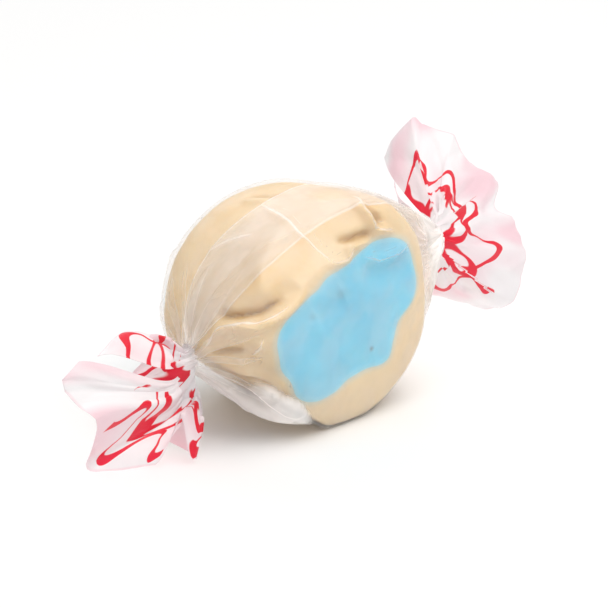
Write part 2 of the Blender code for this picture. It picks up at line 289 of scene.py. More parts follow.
FILM_CREASES = (
    (0.26, 0.45, (-4.9, 0.4, 21.2), (-5.6, -4.9, 19.9), (-3.9, -7.7, 17.4)),
    (0.14, 0.35, (-3.9, -7.5, 17.3), (-2.2, -8.1, 17.4), (-1.4, -8.1, 18.2)),
    (0.26, 0.45, (-14.9, -1.6, 9.8), (-13.8, -3.6, 12.4), (-12.7, -6.5, 13.2), (-9.6, -8.1, 14.9)),
    (0.20, 0.40, (1.3, -5.4, 21.9), (1.6, -8.4, 19.6), (4.4, -8.6, 18.7)),
    (0.20, 0.40, (-12.9, -6.7, 10.2), (-12.4, -7.5, 11.9)),
    (0.15, 0.40, (-11.0, 2.0, 17.8), (-9.6, 0.2, 19.2), (-8.4, -1.9, 19.9)),
    (0.14, 0.40, (5.8, -6.8, 20.0), (8.3, -7.8, 17.4)),
    (0.24, 0.40, (-14.6, -2.4, 8.6), (-12.3, -6.6, 7.2), (-8.6, -8.3, 3.9)),
    (0.09, 0.40, (-0.2, -8.3, 17.2), (2.0, -8.3, 16.1), (4.8, -8.3, 16.0), (6.7, -8.3, 16.6)),
    (0.20, 0.40, (-6.0, 8.3, 18.5), (0.5, 8.5, 15.5), (4.5, 8.4, 16.5)),
    (0.18, 0.40, (8.5, 6.5, 17.5), (10.5, 7.6, 11.0)),
    (0.18, 0.40, (-11.5, 5.5, 6.0), (-6.0, 8.2, 4.0), (0.0, 8.4, 5.5)),
)


def line_parts(points, stops):
    """For each straight part of a line, its run, every point's way off it, and the share run so far."""
    stops = np.array(stops)
    for k, (start, end) in enumerate(zip(stops[:-1], stops[1:])):
        run = end - start
        t = np.clip(((points - start) @ run) / (run @ run), 0, 1)
        off = points - start - t[..., None] * run
        yield run, off, np.linalg.norm(off, axis=-1), (k + t) / (len(stops) - 1)


def end_fade(share):
    """1 along a line, falling to 0 at its ends."""
    return 1 - np.abs(2 * share - 1) ** 4


def line_gap(points, stops):
    """Millimetres from a line at each point, and how strong the line is there."""
    best, share = np.full(points.shape[:-1], 1e9), np.zeros(points.shape[:-1])
    for _, _, gap, so_far in line_parts(points, stops):
        share = np.where(gap < best, so_far, share)
        best = np.minimum(best, gap)
    return best, end_fade(share)


def line_push(points, lines):
    """Height of all the lines at an array of points, in metres."""
    total = 0.0
    for height, width, *stops in lines:
        gap, fade = line_gap(points * 1000, stops)
        total = total + height * fade * np.exp(-((gap / width) ** 2))
    return total / 1000


def line_mark(points, lines, reach, full):
    """1 on the lines whose height is full or more, less on lower ones, and 0 away from them."""
    mark = np.zeros(points.shape[:-1])
    for height, _, *stops in lines:
        gap, fade = line_gap(points * 1000, stops)
        mark = np.maximum(mark, min(1.0, height / full) * fade * np.exp(-((gap / reach) ** 2)))
    return mark


print("creases:", len(PINCHES), "in the taffy and", len(FILM_CREASES), "in the paper")

# %% The plug, both colours in one
BAR_LENGTH = 1.5  # of the bar that cuts the core, in plug thicknesses
SKIN = 0.00050  # how far the skin lies outside the solid's own surface
FLAT_ROUNDING = 0.00022
BALL_SEGMENTS, BALL_RINGS = 220, 132
BROAD_RELIEF, FINE_RELIEF = 0.00030, 0.00007


def taffy_relief(point):
    """How far the skin swells or sinks at a point of the plug."""
    broad = noise.noise(point * 130 + Vector((3.1, 0.4, 7.7))) * BROAD_RELIEF
    return broad + noise.noise(point * 420 + Vector((9.0, 2.2, 1.3))) * FINE_RELIEF


def read_points(mesh, what="co"):
    values = np.empty(len(mesh.vertices) * 3)
    mesh.vertices.foreach_get(what, values)
    return values.reshape(-1, 3)


def add_ball(name):
    deselect()
    bpy.ops.mesh.primitive_uv_sphere_add(segments=BALL_SEGMENTS, ring_count=BALL_RINGS, radius=1.0)
    ball = bpy.context.object
    ball.name = name
    return ball


def smooth_places(ball):
    """Takes the points of a unit ball to the plug's surface, without its creases."""
    theta = np.arctan2(ball[:, 1], ball[:, 0])
    cosine, sine = np.hypot(ball[:, 0], ball[:, 1]), -ball[:, 2]
    power = rim_power(theta, sine)
    stretch = (cosine**power + np.abs(sine) ** power) ** (-1 / power)
    y = sine * stretch * (PLUG_THICKNESS / 2 + SKIN)
    radius = cosine * stretch * (plug_radius(theta, y) + SKIN)
    x, z = radius * np.cos(theta), PLUG_CENTRE_Z + radius * np.sin(theta)
    x = x - pulled(x, y, z)
    places = np.stack([x, y, z], -1)
    for facet in FACETS:
        past = past_facet(facet, *places.T) + PAPER_REACH - SKIN
        cut_back = 0.5 * (past + np.sqrt(past**2 + FLAT_ROUNDING**2))
        places -= cut_back[:, None] * np.array(facet[1]) / np.linalg.norm(facet[1])
    places[:, 2] = np.maximum(places[:, 2], PLUG_FLOOR - SKIN)
    return places + SHIFT


def surface_of(places, mesh):
    faces = [face.vertices for face in mesh.polygons]
    return BVHTree.FromPolygons([Vector(place) for place in places], faces)


def lay_on(lines, surface):
    """Brings each line down to a surface, after more places are put between its own."""
    laid = []
    for height, width, *stops in lines:
        stops = np.array(stops) / 1000
        between = [a + (b - a) * t for a, b in zip(stops[:-1], stops[1:]) for t in (0, 0.25, 0.5, 0.75)]
        down = [surface.find_nearest(Vector(place))[0] * 1000 for place in between + [stops[-1]]]
        laid.append((height, width, *map(tuple, down)))
    return laid


ball = add_ball("ball")
ground = surface_of(smooth_places(read_points(ball.data)), ball.data)
bpy.data.objects.remove(ball)
PINCHES, RIDGES, DENTS = lay_on(PINCHES, ground), lay_on(RIDGES, ground), lay_on(DENTS, ground)


def make_plug(name):
    plug = add_ball(name)
    places = smooth_places(read_points(plug.data))
    plug.data.vertices.foreach_set("co", places.ravel())
    plug.data.update()
    push = line_push(places, RIDGES) - line_push(places, PINCHES) - line_push(places, DENTS)
    push += np.array([taffy_relief(Vector(place)) for place in places])
    places += push[:, None] * read_points(plug.data, "normal")
    places[:, 2] = np.maximum(places[:, 2], PLUG_FLOOR - SKIN)
    plug.data.vertices.foreach_set("co", places.ravel())
    plug.data.update()
    return plug


# %% [markdown]
# ## Core and layer
#
# The core runs through the plug from face to face. It is cut out with a bar that has the core's
# outline, once as what both share and once as what the layer loses, so that the two pieces meet
# along one line. A boolean fits here, because the real colours meet the same way.

# %% The bar and the two cuts
def core_radius(theta):
    """The core's outline at its wide end, a little wavy."""
    return around(CORE_RADII, theta) * (1 + 0.010 * np.sin(7 * theta + 0.6) + 0.008 * np.sin(13 * theta))


def core_bar(name):
    deselect()
    bpy.ops.mesh.primitive_cone_add(
        vertices=200, radius1=1 - CORE_TAPER, radius2=1.0, depth=PLUG_THICKNESS * BAR_LENGTH
    )
    bar = bpy.context.object
    bar.name = name
    for vert in bar.data.vertices:
        theta = math.atan2(vert.co.y, vert.co.x)
        radius = math.hypot(vert.co.x, vert.co.y) * float(core_radius(theta))
        place = Vector((radius * math.cos(theta), -vert.co.z, PLUG_CENTRE_Z + radius * math.sin(theta)))
        vert.co = place + MOVED
    return bar


def cut(piece, tool, operation):
    boolean = piece.modifiers.new("cut", "BOOLEAN")
    boolean.operation = operation
    boolean.object = tool
    boolean.solver = "EXACT"
    deselect()
    bpy.context.view_layer.objects.active = piece
    bpy.ops.object.modifier_apply(modifier=boolean.name)


bar = core_bar("core_bar")
tan_piece = make_plug("tan_taffy_layer")
cut(tan_piece, bar, "DIFFERENCE")
blue_piece = make_plug("blue_taffy_core")
cut(blue_piece, bar, "INTERSECT")
bpy.data.objects.remove(bar)
for piece in (tan_piece, blue_piece):
    deselect()
    piece.select_set(True)
    bpy.context.view_layer.objects.active = piece
    bpy.ops.object.shade_smooth_by_angle(angle=math.radians(50))
    print(piece.name, "triangles:", sum(len(face.vertices) - 2 for face in piece.data.polygons))

# %% [markdown]
# ## Colour of the taffy
#
# Both colours are the same sugar, satin and a little translucent. Where they meet, each has taken on
# a trace of the other, which an attribute measures: the distance from the core's outline. A second
# one marks the pinches and dents, where shade is painted into the colour as a darker tint. Pulling
# leaves faint streaks, and the blue has a few dark specks of undissolved colour.

# %% Distance from the border between the colours, and the painted shade of the hollows
def add_measures(piece):
    places = read_points(piece.data) - SHIFT
    theta = np.arctan2(places[:, 2] - PLUG_CENTRE_Z, places[:, 0])
    taper = 1 - CORE_TAPER * (0.5 + places[:, 1] / (PLUG_THICKNESS * BAR_LENGTH))
    outline = core_radius(theta) * taper
    border = (np.hypot(places[:, 0], places[:, 2] - PLUG_CENTRE_Z) - outline) * 1000
    places = np.array([ground.find_nearest(Vector(place))[0] for place in places + SHIFT])
    in_pinch, in_dent = line_mark(places, PINCHES, 0.46, 0.5), line_mark(places, DENTS, 1.7, 0.75)
    # Painted shade: full along the pinches, a fifth as strong over the broad dents.
    painted_crease_shade = np.maximum(in_pinch, 0.20 * in_dent)
    for name, values in (("border", border), ("painted_crease_shade", painted_crease_shade)):
        piece.data.attributes.new(name, "FLOAT", "POINT").data.foreach_set("value", values)


add_measures(tan_piece)
add_measures(blue_piece)


# %% Helpers for node materials
def node(tree, kind, values=None, **settings):
    """Adds a node. Each of its values is a plain one, or another node's output, which is linked."""
    made = tree.nodes.new(kind)
    for key, value in settings.items():
        setattr(made, key, value)
    for key, value in (values or {}).items():
        if isinstance(value, bpy.types.NodeSocket):
            tree.links.new(value, made.inputs[key])
        else:
            made.inputs[key].default_value = value
    return made


def calc(tree, operation, *values):
    return node(tree, "ShaderNodeMath", dict(enumerate(values)), operation=operation).outputs[0]


def vector_node(tree, operation, *values):
    return node(tree, "ShaderNodeVectorMath", dict(enumerate(values)), operation=operation)


def noise_node(tree, place, scale, detail, roughness=0.5, output="Fac"):
    values = {"Vector": place, "Scale": scale, "Detail": detail, "Roughness": roughness}
    return node(tree, "ShaderNodeTexNoise", values).outputs[output]


def measure(tree, name):
    """Reads a measure that the points of a piece carry."""
    return node(tree, "ShaderNodeAttribute", attribute_name=name).outputs["Fac"]


def ramp(tree, value, low, high, at_low=0.0, at_high=1.0):
    """Maps a value smoothly from one range to another."""
    values = {"Value": value, "From Min": low, "From Max": high, "To Min": at_low, "To Max": at_high}
    return node(tree, "ShaderNodeMapRange", values, interpolation_type="SMOOTHSTEP").outputs["Result"]


def blend(tree, share, first, second):
    return node(tree, "ShaderNodeMix", {"Factor": share, 6: first, 7: second}, data_type="RGBA").outputs[2]


# %% Taffy finish
SPECK_COLOUR = (0.14, 0.26, 0.32, 1)
TAFFY_LOOKS = {
    "Roughness": 0.42, "Subsurface Weight": 0.25, "Subsurface Radius": (1.0, 0.7, 0.45),
    "Subsurface Scale": 0.0015,
}


def taffy(name, main, deep, pale, trace, trace_sign, shade, specks=()):
    material, tree, shader = finish(name, TAFFY_LOOKS)
    coords = node(tree, "ShaderNodeTexCoord").outputs["Object"]
    streaks = noise_node(tree, coords, 160.0, 4.0, 0.55)
    cloud = noise_node(tree, coords, 55.0, 2.0)
    colour = blend(tree, ramp(tree, streaks, 0.35, 0.7), main, deep)
    colour = blend(tree, ramp(tree, cloud, 0.45, 0.72, 0.0, 0.6), colour, pale)
    inwards = calc(tree, "MULTIPLY", measure(tree, "border"), trace_sign)
    colour = blend(tree, ramp(tree, inwards, 0.0, 0.75, 0.55, 0.0), colour, trace)
    for place, reach, strength in specks:
        place = ground.find_nearest(Vector(place) / 1000)[0] * 1000
        apart = vector_node(tree, "DISTANCE", coords, tuple(v / 1000 for v in place)).outputs["Value"]
        dot = ramp(tree, apart, 0.0, reach / 1000, strength, 0.0)
        colour = blend(tree, dot, colour, SPECK_COLOUR)
    # Painted shade: the colour darkens towards the shade colour in pinches and dents.
    colour = blend(tree, ramp(tree, measure(tree, "painted_crease_shade"), 0.05, 0.80, 0.0, 0.80), colour, shade)
    tree.links.new(colour, shader.inputs["Base Color"])
    skin = node(tree, "ShaderNodeBump", {"Strength": 0.25, "Distance": 0.0002, "Height": streaks})
    tree.links.new(skin.outputs["Normal"], shader.inputs["Normal"])
    return material


tan_finish = taffy(
    "tan_taffy", main=(0.80, 0.62, 0.375, 1), deep=(0.76, 0.55, 0.28, 1), pale=(0.86, 0.70, 0.48, 1),
    trace=(0.54, 0.68, 0.63, 1), trace_sign=1.0, shade=(0.50, 0.28, 0.05, 1),
)
SPECKS = (
    # place in millimetres, reach in millimetres, strength
    ((1.2, -8.5, 15.5), 0.35, 0.5), ((-2.8, -8.5, 14.0), 0.9, 0.30), ((-6.7, -8.5, 12.8), 0.7, 0.25),
    ((1.2, -8.5, 7.4), 0.42, 0.9), ((-7.6, -8.3, 3.9), 0.35, 0.5),
)
blue_finish = taffy(
    "blue_taffy", main=(0.172, 0.635, 0.84, 1), deep=(0.135, 0.575, 0.79, 1), pale=(0.26, 0.74, 0.90, 1),
    trace=(0.42, 0.76, 0.84, 1), trace_sign=-1.0, shade=(0.07, 0.36, 0.55, 1), specks=SPECKS,
)
for piece, material, solid, slot in (
    (tan_piece, tan_finish, "tan_layer", "tan_taffy"),
    (blue_piece, blue_finish, "blue_core", "blue_taffy"),
):
    piece.data.materials.clear()
    piece.data.materials.append(material)
    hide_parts(solid)
    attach(piece, "root")

# %% [markdown]
# ## How the paper lies
#
# A pulled sheet takes the shortest way, so along each straight line of the sheet the paper follows
# the plug where the plug bulges and bridges it where the plug falls away. That is the upper hull of
# the plug's profile between the two necks. The hull is found for many angles round the axis, and
# each is read at even steps along its own length, as a real sheet would be ruled.

# %% Measures of the paper
NECK_RADIUS = 0.0014
LEFT_NECK = Vector((-0.0137, -0.0010, 0.0092))
RIGHT_NECK = Vector((0.0173, -0.0034, 0.0137))
SHEET_DEGREES, SHEET_MM = 393, 81.5
SHEET_WIDTH = math.radians(SHEET_DEGREES)
LAP_MM = SHEET_MM * (SHEET_DEGREES - 360) / SHEET_DEGREES
SEAM_AT = math.radians(57)
COLUMNS, BODY_ROWS, TAIL_ROWS = 212, 134, 49
SAG, SAG_PLACE, SAG_LENGTH = 0.0022, -0.0085, 0.0060
SAG_ANGLE, SAG_SPAN = math.radians(316), math.radians(52)
ANGLES, AXIS_STEPS = 145, 240
FAR_OUT, HALVINGS = 0.03, 26


def axis_point(x):
    """The line that the paper gathers round: neck, middle of the plug, neck."""
    share_left, share_right = smooth(x / LEFT_NECK.x), smooth(x / RIGHT_NECK.x)
    y = share_left * LEFT_NECK.y + share_right * RIGHT_NECK.y
    rise_left, rise_right = LEFT_NECK.z - PLUG_CENTRE_Z, RIGHT_NECK.z - PLUG_CENTRE_Z
    return y, PLUG_CENTRE_Z + share_left * rise_left + share_right * rise_right


def plug_reach(x, phi):
    """How far the paper has to be from the axis to clear the plug, by bisection."""
    axis_y, axis_z = axis_point(x)
    low, high = np.zeros_like(phi), np.full_like(phi, FAR_OUT)
    for _ in range(HALVINGS):
        middle = (low + high) / 2
        inside = paper_level(x, axis_y - middle * np.cos(phi), axis_z + middle * np.sin(phi)) < 1
        low, high = np.where(inside, middle, low), np.where(inside, high, middle)
    return np.where(high < 1e-6, 0.0, (low + high) / 2)


def upper_hull(x, radius):
    """The corners of the tightest line that runs over a profile and only bends one way."""
    kept = []
    for point in zip(x, radius):
        while len(kept) > 1:
            (x0, r0), (x1, r1) = kept[-2:]
            if (x1 - x0) * (point[1] - r0) < (point[0] - x0) * (r1 - r0):
                break
            kept.pop()
        kept.append(point)
    return np.array(kept).T


def sag(x, phi):
    """How far the loose panel under the plug's front edge hangs out."""
    off = np.abs((phi - SAG_ANGLE + math.pi) % (2 * math.pi) - math.pi)
    return SAG * smooth(1 - np.abs(x - SAG_PLACE) / SAG_LENGTH) * smooth(1 - off / SAG_SPAN)


# %% The pulled sheet, ruled evenly
TABLE = np.linspace(0, 2 * math.pi, ANGLES)
fine_x = np.linspace(LEFT_NECK.x, RIGHT_NECK.x, AXIS_STEPS)
clear = plug_reach(fine_x[:, None], np.broadcast_to(TABLE, (AXIS_STEPS, ANGLES)).copy())
steps = np.linspace(0, 1, BODY_ROWS)
fractions = 0.5 * steps + 0.5 * (1 - np.cos(math.pi * steps)) / 2
ruled_x, ruled_r, ruled_near = (np.zeros((ANGLES, BODY_ROWS)) for _ in range(3))
lengths = []
for k in range(ANGLES):
    profile = clear[:, k].copy()
    profile[0] = profile[-1] = NECK_RADIUS
    hull_x, hull_r = upper_hull(fine_x, profile)
    dense_x = np.interp(np.linspace(0, len(hull_x) - 1, 6 * len(hull_x)), np.arange(len(hull_x)), hull_x)
    dense_r = np.interp(dense_x, hull_x, hull_r)
    length = np.concatenate(([0], np.cumsum(np.hypot(np.diff(dense_x), np.diff(dense_r)))))
    ruled_x[k] = np.interp(fractions * length[-1], length, dense_x)
    ruled_r[k] = np.interp(fractions * length[-1], length, dense_r)
    ruled_near[k] = np.interp(ruled_x[k], fine_x, clear[:, k])
    lengths.append(length[-1])
BODY_LENGTH = float(np.mean(lengths))
print("paper from neck to neck, mm:", round(BODY_LENGTH * 1000, 1))

# %% [markdown]
# ## Pleats
#
# The sheet is about eight times as wide as the twist is round, so it has to fold up on its way
# there. Each fold is a tuck: a wedge of tripled paper, as wide as the fold at the twist and gone a
# few millimetres further on. Tucks are unequal, and where one ends is up to chance, so each gets a
# place, a share of the width and a reach of its own on either side.

# %% Folds across the sheet
draw = random.Random(23)
FOLD_COUNT = 15
fold_edges = np.array([(k + draw.uniform(-0.3, 0.3)) / FOLD_COUNT for k in range(FOLD_COUNT + 1)])
fold_edges[0], fold_edges[-1] = 0.0, 1.0


def draw_folds():
    """Depth, reach in metres, lean of the tuck's middle line, for each fold of one side."""
    return np.array([
        (draw.uniform(0.5, 1.0), draw.uniform(0.0055, 0.0135), draw.uniform(-0.25, 0.25))
        for _ in range(FOLD_COUNT)
    ])


fold_left, fold_right = draw_folds(), draw_folds()
across = np.linspace(0, 1, COLUMNS)
which = np.clip(np.searchsorted(fold_edges, across, side="right") - 1, 0, FOLD_COUNT - 1)
fold_width = (fold_edges[which + 1] - fold_edges[which]) * SHEET_MM
within = (across - fold_edges[which]) / (fold_edges[which + 1] - fold_edges[which])
valley = (1 - np.abs(2 * within - 1)) ** 0.85
sheet_angle = across * SHEET_WIDTH


def tuck(folds, distance):
    """Millimetres inside (over 0) or outside (under 0) the wedge of each fold's tuck."""
    depth, reach, lean = folds[which].T
    middle = 0.5 + lean * distance / reach
    half = 0.5 * fold_width * depth * np.clip(1 - distance / reach, -1, 1)
    return half - np.abs(within - middle) * fold_width


def gather(folds, distance):
    """Share of the hull's radius that each column sinks into its fold."""
    depth, reach, _ = folds[which].T
    return depth * valley * smooth(1 - distance / reach)


# %% [markdown]
# ## Body of the sheet
#
# Each row goes once round the axis and a little further, so the sheet's two long edges lap over
# each other along the top. Where the lap lies the paper looks whiter. Near a neck the row starts to
# turn with the twist.

# %% Rows round the plug
LEFT_PLACES, RIGHT_PLACES = (2.35, 14.0), (6.4, 18.0)
TWIST_SHARE, TWIST_RUN = 0.30, 0.0018
LAP_LIFT, LAP_SPREAD = 0.00018, math.radians(30)
STEP_HEIGHT, STEP_BLUR = 0.00022, 0.25  # of a tuck, in metres and in millimetres across
FOLD_DEPTH, PACKED_FROM = 0.40, 0.0035


def tail_angle(places):
    """Angle at which each column leaves the knot, for a tail whose corners are 30 degrees apart."""
    return math.radians(30) * (places[0] + across * (places[1] - places[0]))


def lap_spread(share):
    """How far the sheet's last columns turn on, so that the lap widens towards the left twist."""
    return LAP_SPREAD * share * smooth((across - 0.55) / 0.45)


body_angle = SEAM_AT + sheet_angle
left_angle, right_angle = tail_angle(LEFT_PLACES), tail_angle(RIGHT_PLACES)
lap = smooth((sheet_angle - 2 * math.pi + math.radians(4)) / math.radians(5))
rulings = (ruled_x, ruled_r, ruled_near)
body_rows, body_tucks = [], []
for j in range(BODY_ROWS):
    side = 0 if fractions[j] < 0.5 else 1
    distance = min(fractions[j], 1 - fractions[j]) * BODY_LENGTH
    spread = lap_spread(float(smooth(1 - fractions[j] / 0.46)))
    turned = (left_angle, right_angle)[side] - body_angle - spread
    phi = body_angle + spread + TWIST_SHARE * float(smooth(1 - distance / TWIST_RUN)) * turned
    x, hull, near = (np.interp(phi % (2 * math.pi), TABLE, ruled[:, j]) for ruled in rulings)
    folds = (fold_left, fold_right)[side]
    packed = float(smooth(1 - distance / PACKED_FROM))
    inside = tuck(folds, distance)
    step = STEP_HEIGHT * np.clip(0.5 + inside / STEP_BLUR, 0, 1) * (1 - packed)
    radius = np.maximum(hull * (1 - FOLD_DEPTH * gather(folds, distance)), near) + step + sag(x, phi)
    radius += LAP_LIFT * lap * (1 - 0.5 * packed)
    axis_y, axis_z = axis_point(x)
    radius = np.minimum(radius, axis_z / np.maximum(-np.sin(phi), 1e-6))
    body_rows.append(np.stack([x, axis_y - radius * np.cos(phi), axis_z + radius * np.sin(phi)], -1))
    body_tucks.append(inside)
print("rows of the sheet on the body:", BODY_ROWS)

# %% [markdown]
# ## Tails
#
# Past each twist the paper is free. It opens like the bell of a flower, with a rim that runs past
# twelve corners. On the left the sheet's outer edge is loose: that panel first drops beside the
# knot, as a strap, and then swings forward and up again, so one looks into the bell behind it. Every
# column of the sheet runs along a curve with two controls.

# %% Corners of the rims, in millimetres from the neck
LEFT_RIM = (
    (-12.2, -1.0, -2.4), (-14.0, 1.6, 0.2), (-11.1, 2.1, 1.5), (-3.6, 4.6, 2.1),
    (-1.7, 2.6, 1.3), (-3.8, 4.2, -2.0), (-6.8, 5.6, -5.0), (-4.6, 3.6, -8.2),
    (-2.2, 0.6, -8.0), (-1.9, -2.9, -8.8), (-5.7, -1.3, -8.8), (-10.7, 2.0, -8.9),
)
RIGHT_RIM = (
    (13.7, -0.1, -4.8), (13.3, 2.0, -1.5), (13.8, 4.3, 1.3), (11.0, 5.8, 3.6),
    (10.7, 7.8, 6.0), (8.3, 10.1, 7.4), (5.9, 11.7, 3.5), (6.0, 10.3, -1.2),
    (6.5, 9.0, -5.7), (5.0, 5.3, -8.3), (8.1, 2.2, -9.9), (11.4, -0.3, -9.7),
)
# Where the paper drops first, as places on the rim with a share, and the place that it drops to.
LEFT_DROP = ((2.35, 0.70), (3.6, 0.25), (6.0, 0.05), (8.0, 0.45), (9.5, 0.9), (11.0, 1.0), (14.0, 1.0))
LEFT_STRAP = (1.0, -2.6, -9.8)
# Notches in the rim: place, half width and depth.
LEFT_NOTCHES, RIGHT_NOTCHES = ((9.55, 0.42, 0.42),), ((13.4, 0.6, 0.12),)
# The controls of a column's curve: shares of the way to the rim's middle, then outwards.
FIRST_CONTROL, SECOND_CONTROL, STRAP_CONTROL = (0.12, 0.42), (0.62, 0.88), (0.60, 0.10)
TAIL_STEPS, TURNED_BY, KNOT_SHARE, KNOT_LENGTH = 1.35, 0.22, 0.35, 0.0012
TAIL_FOLD_DEPTH, LAP_OPENS, TUCKS_END = 0.42, 0.0009, 0.55


def rim_curve(rim, neck, place, notches):
    """Places on the rim, halfway between straight panels and a smooth curve, and the rim's middle."""
    corners = np.array(rim) / 1000 + neck
    index = np.floor(place).astype(int)
    t = (place - index)[:, None]
    count = len(corners)
    straight = corners[index % count] * (1 - t) + corners[(index + 1) % count] * t
    curved = np.stack([around(corners[:, axis], place * 2 * math.pi / count) for axis in range(3)], -1)
    ends = 0.45 * straight + 0.55 * curved
    for middle, half, depth in notches:
        ends = ends - (ends - neck) * (depth * smooth(1 - np.abs(place - middle) / half))[:, None]
    return ends, corners.mean(axis=0)


def tail(neck, rim, side, places, angles, folds, notches, drops=((0, 0), (1, 0)), strap=(0, 0, 0)):
    """Rows of one tail from the neck outwards."""
    neck = np.array(neck)
    place = places[0] + across * (places[1] - places[0])
    ends, hub = rim_curve(rim, neck, place, notches)
    drop = np.interp(place, *np.array(drops).T)[:, None]
    reach, spread = hub - neck, ends - hub
    heading = reach / np.linalg.norm(reach)
    first = neck + FIRST_CONTROL[0] * reach + FIRST_CONTROL[1] * spread
    first = first * (1 - drop) + (neck + np.array(strap) / 1000) * drop
    second = neck + SECOND_CONTROL[0] * reach + SECOND_CONTROL[1] * spread
    dropped = neck + STRAP_CONTROL[0] * (ends - neck) + STRAP_CONTROL[1] * spread
    second = second * (1 - drop) + dropped * drop
    outward = spread / np.linalg.norm(spread, axis=1, keepdims=True)
    rows, tucks = [], []
    for i in range(1, TAIL_ROWS + 1):
        share = (i / TAIL_ROWS) ** TAIL_STEPS
        lean = float(smooth(share / TURNED_BY))
        begun = body_angle + lap_spread(1.0 if side < 0 else 0.0)
        phi = begun + (angles - begun) * (TWIST_SHARE + (1 - TWIST_SHARE) * lean)
        normal = np.array((side, 0.0, 0.0)) * (1 - lean) + heading * lean
        normal /= np.linalg.norm(normal)
        up = np.array((0.0, 0.0, 1.0)) - normal * normal[2]
        up /= np.linalg.norm(up)
        front = np.cross(up, normal) * side
        spoke = np.outer(np.cos(phi), front) + np.outer(np.sin(phi), up)
        pleat = 1 - TAIL_FOLD_DEPTH * folds[which][:, 0] * valley * (1 - 0.6 * share)
        width = NECK_RADIUS * (1 + 0.6 * share) * pleat
        ring = neck + heading * KNOT_LENGTH * share + spoke * width[:, None]
        a, b, c, d = (1 - share) ** 3, 3 * share * (1 - share) ** 2, 3 * share**2 * (1 - share), share**3
        path = ring * (a + b * KNOT_SHARE) + first * b * (1 - KNOT_SHARE) + second * c + ends * d
        rows.append(path + outward * (LAP_OPENS * lap * share)[:, None])
        half = 0.5 * fold_width * folds[which][:, 0] * (1 - share / TUCKS_END)
        tucks.append(half - np.abs(within - 0.5) * fold_width)
    return np.array(rows), np.array(tucks)


left_rows, left_tucks = tail(
    LEFT_NECK, LEFT_RIM, -1, LEFT_PLACES, left_angle, fold_left, LEFT_NOTCHES, LEFT_DROP, LEFT_STRAP
)
right_rows, right_tucks = tail(
    RIGHT_NECK, RIGHT_RIM, 1, RIGHT_PLACES, right_angle, fold_right, RIGHT_NOTCHES
)
sheet = np.concatenate([left_rows[::-1], np.array(body_rows), right_rows])
tucks = np.concatenate([left_tucks[::-1], np.array(body_tucks), right_tucks])
ROWS = len(sheet)


# %% Distance along the sheet, for its flat layout
def tail_lengths(rows, neck):
    return np.maximum.accumulate(np.linalg.norm(rows - np.array(neck), axis=2).mean(axis=1))


along = np.concatenate([
    -tail_lengths(left_rows, LEFT_NECK)[::-1],
    fractions * BODY_LENGTH,
    BODY_LENGTH + tail_lengths(right_rows, RIGHT_NECK),
]) * 1000
across_mm = across * SHEET_MM
print("flat sheet, mm:", SHEET_MM, "by", round(along[-1] - along[0], 1))

# %% [markdown]
# ## Crumples
#
# Waxed paper holds every crease. Loose paper breaks into flat facets with sharp edges, so a height
# field of random triangles pushes the sheet out and in: strongly in the tails, hardly at all where
# the paper clings to the sweet. A few long creases have a set place. Each point of the sheet keeps
# its distance to the nearest one, under 0 on the crease's other side. The shader can then draw a
# line far thinner than the mesh.

# %% Sharp lines between the points of a mesh
def crease_sides(points, normals, lines):
    """Millimetres to one side of the nearest crease at each point, and the crease's strength there."""
    best, side, strength = (np.full(points.shape[:-1], value) for value in (1e9, 9.0, 0.0))
    for height, _, *stops in lines:
        for run, off, gap, so_far in line_parts(points, stops):
            level = np.sum(off * np.cross(run / np.linalg.norm(run), normals), axis=-1)
            near = smooth((0.95 - gap) / 0.5)
            nearer = gap < best
            side = np.where(nearer, np.where(gap < 1.0, level, gap), side)
            strength = np.where(nearer, min(1.0, height / CREASE_FULL) * end_fade(so_far) * near, strength)
            best = np.minimum(best, gap)
    return side, strength


# %% A height field of facets
def facet_field(seed, wide, long):
    """A field of triangles with random heights, whose corners are about wide and long apart."""
    pick = random.Random(seed)
    columns, rows = int(SHEET_MM / wide) + 2, int((along[-1] - along[0]) / long) + 2
    spots = [
        Vector(((a + pick.uniform(-0.45, 0.45)) * wide, along[0] + (b + pick.uniform(-0.45, 0.45)) * long))
        for a in range(-1, columns + 1) for b in range(-1, rows + 1)
    ]
    points, _, faces, *_ = geometry.delaunay_2d_cdt(spots, [], [], 0, 1e-5)
    return BVHTree.FromPolygons([(p.x, p.y, pick.uniform(-1, 1)) for p in points], faces)


def read_field(field, u, v):
    hit = field.ray_cast(Vector((u, v, 9.0)), Vector((0, 0, -1)))
    return hit[0].z if hit[0] else 0.0


big, small = facet_field(5, 4.6, 6.4), facet_field(8, 1.9, 3.0)
crumple = np.array([
    [0.72 * read_field(big, u, v) + 0.28 * read_field(small, u, v) for u in across_mm] for v in along
])
print("crumple from", round(float(crumple.min()), 2), "to", round(float(crumple.max()), 2))

# %% How far the sheet lies off the taffy
whole = make_plug("whole_plug")
skin = surface_of(read_points(whole.data), whole.data)
bpy.data.objects.remove(whole)
lift = np.array([[skin.find_nearest(Vector(p + SHIFT))[3] for p in row] for row in sheet])
print("points of the sheet:", lift.size)

# %% Crumples and creases pushed into the sheet
TIGHT_CRUMPLE, LOOSE_CRUMPLE, TAIL_CRUMPLE = 0.00001, 0.00022, 0.00065
CREASE_FULL, FILM_DIPS = 0.26, 0.8
slope_v, slope_u = np.gradient(sheet, axis=0), np.gradient(sheet, axis=1)
normals = np.cross(slope_v, slope_u)
normals /= np.maximum(np.linalg.norm(normals, axis=2, keepdims=True), 1e-12)
past_neck = np.maximum(-along, along - BODY_LENGTH * 1000)
tail_share = smooth(past_neck / 5.0)[:, None]
loose = smooth((lift - 0.0004) / 0.0020)
amount = LOOSE_CRUMPLE * loose * (1 - tail_share) * smooth(-past_neck / 2)[:, None]
amount = TIGHT_CRUMPLE + amount + TAIL_CRUMPLE * tail_share
lap_zone = np.maximum(lap, smooth((math.radians(38) - sheet_angle) / math.radians(5)))
amount = amount * (1 - 0.85 * lap_zone * (past_neck < 1.0)[:, None])
push = crumple * amount
on_body = (past_neck < 0)[:, None] & np.ones(COLUMNS, bool)
